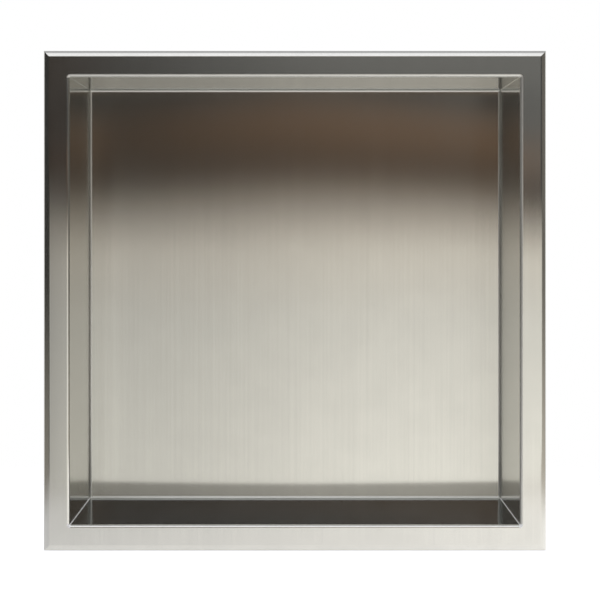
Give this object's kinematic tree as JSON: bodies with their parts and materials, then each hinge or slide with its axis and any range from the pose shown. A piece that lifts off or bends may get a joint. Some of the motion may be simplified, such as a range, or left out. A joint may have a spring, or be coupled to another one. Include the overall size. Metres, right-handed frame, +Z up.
{
  "type": "shower niche insert",
  "caption": "Square open-fronted box folded from brushed stainless sheet, with a flange rolled back to the wall; recessed into a shower wall to hold bottles and soap.",
  "frame": {"origin": "centre of the opening, on the wall plane that the rear edge of the flange's rolled rim rests on", "axes": "+X right as seen from the room, +Y into the wall, +Z up"},
  "size_m": [0.406, 0.102, 0.404],
  "materials": {
    "steel": "brushed, with the grain running up and down the back panel"
  },
  "bodies": {
    "root": {"niche_shell": "steel"}
  },
  "joints": []
}
